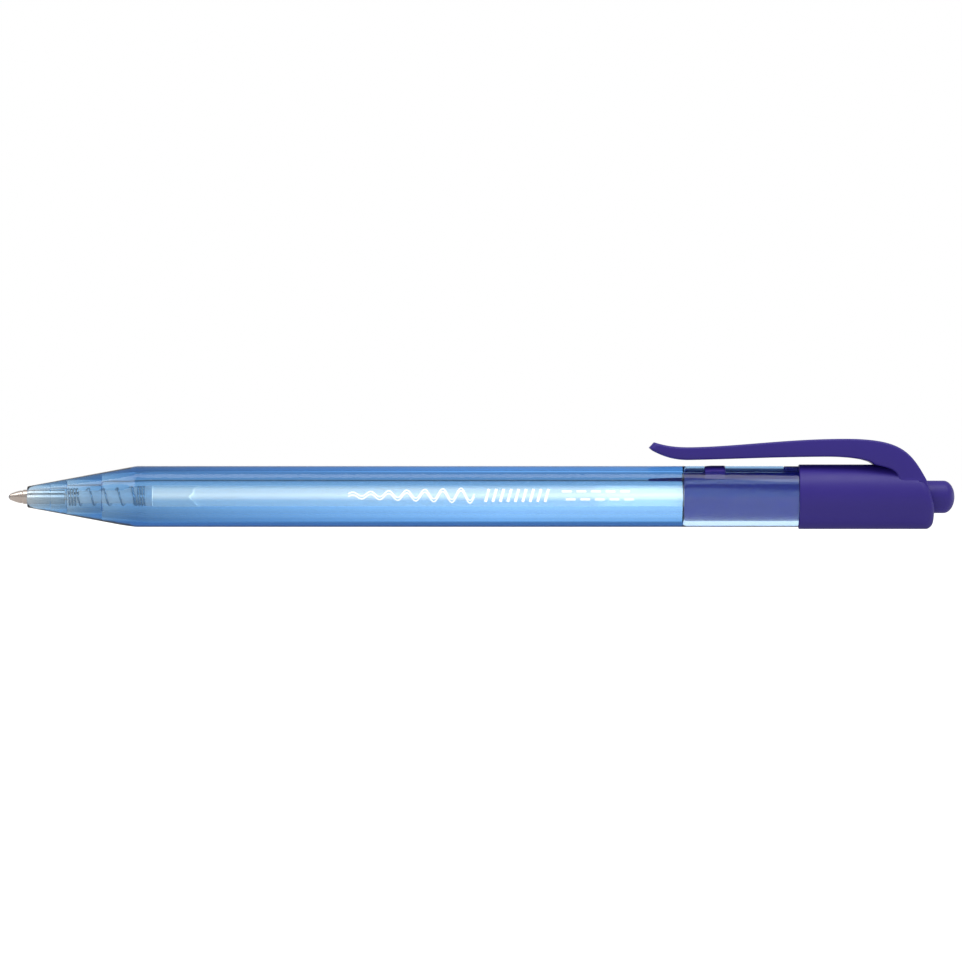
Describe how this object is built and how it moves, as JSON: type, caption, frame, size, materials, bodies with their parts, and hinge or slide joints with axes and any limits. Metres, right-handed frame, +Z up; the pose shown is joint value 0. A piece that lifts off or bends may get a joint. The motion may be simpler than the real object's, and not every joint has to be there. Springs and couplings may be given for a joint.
{
  "type": "retractable ballpoint pen",
  "caption": "Slim click pen with a see-through barrel, conical nose, opaque rear cap with a long clip, a push button and a spring-loaded refill.",
  "frame": {"origin": "under the middle of the pen, on the surface it lies on with its clip on top", "axes": "+X along the pen from the writing tip to the push button, +Z up towards the clip, +Y across"},
  "size_m": [0.1466, 0.01, 0.014],
  "materials": {
    "clear_blue_plastic": "polished see-through blue moulding",
    "indigo_plastic": "satin opaque indigo moulding",
    "milky_plastic": "milky white extruded tube",
    "natural_plastic": "uncoloured moulding",
    "nickel_silver": "turned and polished, warm rose tone",
    "carbide": "ground and polished",
    "ink_paste": "blue ink paste",
    "spring_steel": "bright drawn wire"
  },
  "bodies": {
    "barrel": {"barrel": "clear_blue_plastic", "rear_cap": "indigo_plastic", "return_spring": "spring_steel"},
    "clip": {"clip": "indigo_plastic"},
    "button": {"push_button": "indigo_plastic"},
    "refill": {"refill_tube": "milky_plastic", "tip_holder": "natural_plastic", "writing_tip": "nickel_silver", "ink": "ink_paste"},
    "rotor": {"index_rotor": "natural_plastic"},
    "ball": {"tip_ball": "carbide"}
  },
  "joints": [
    {"name": "button_slide", "type": "slide", "parent": "barrel", "child": "button", "axis": [1, 0, 0], "range_m": [-0.0015, 0.005]},
    {"name": "refill_slide", "type": "slide", "parent": "barrel", "child": "refill", "axis": [1, 0, 0], "range_m": [-0.0015, 0.005], "deforming": ["return_spring"]},
    {"name": "rotor_index", "type": "hinge", "parent": "refill", "child": "rotor", "pos_m": [0.036, 0, 0.00498], "axis": [1, 0, 0], "range_deg": [-14, 46]},
    {"name": "ball_roll", "type": "hinge", "parent": "refill", "child": "ball", "pos_m": [-0.0729, 0, 0.00498], "axis": [0, 1, 0], "continuous": true},
    {"name": "clip_flex", "type": "hinge", "parent": "barrel", "child": "clip", "pos_m": [0.06, 0, 0.01233], "axis": [0, 1, 0], "range_deg": [-1, 5], "stiffness_Nm_per_rad": 0.02}
  ],
  "couplings": [
    {"joint": "refill_slide", "follows": "button_slide", "ratio": 1},
    {"joint": "rotor_index", "follows": "button_slide", "rad_per_m": 157.08}
  ]
}
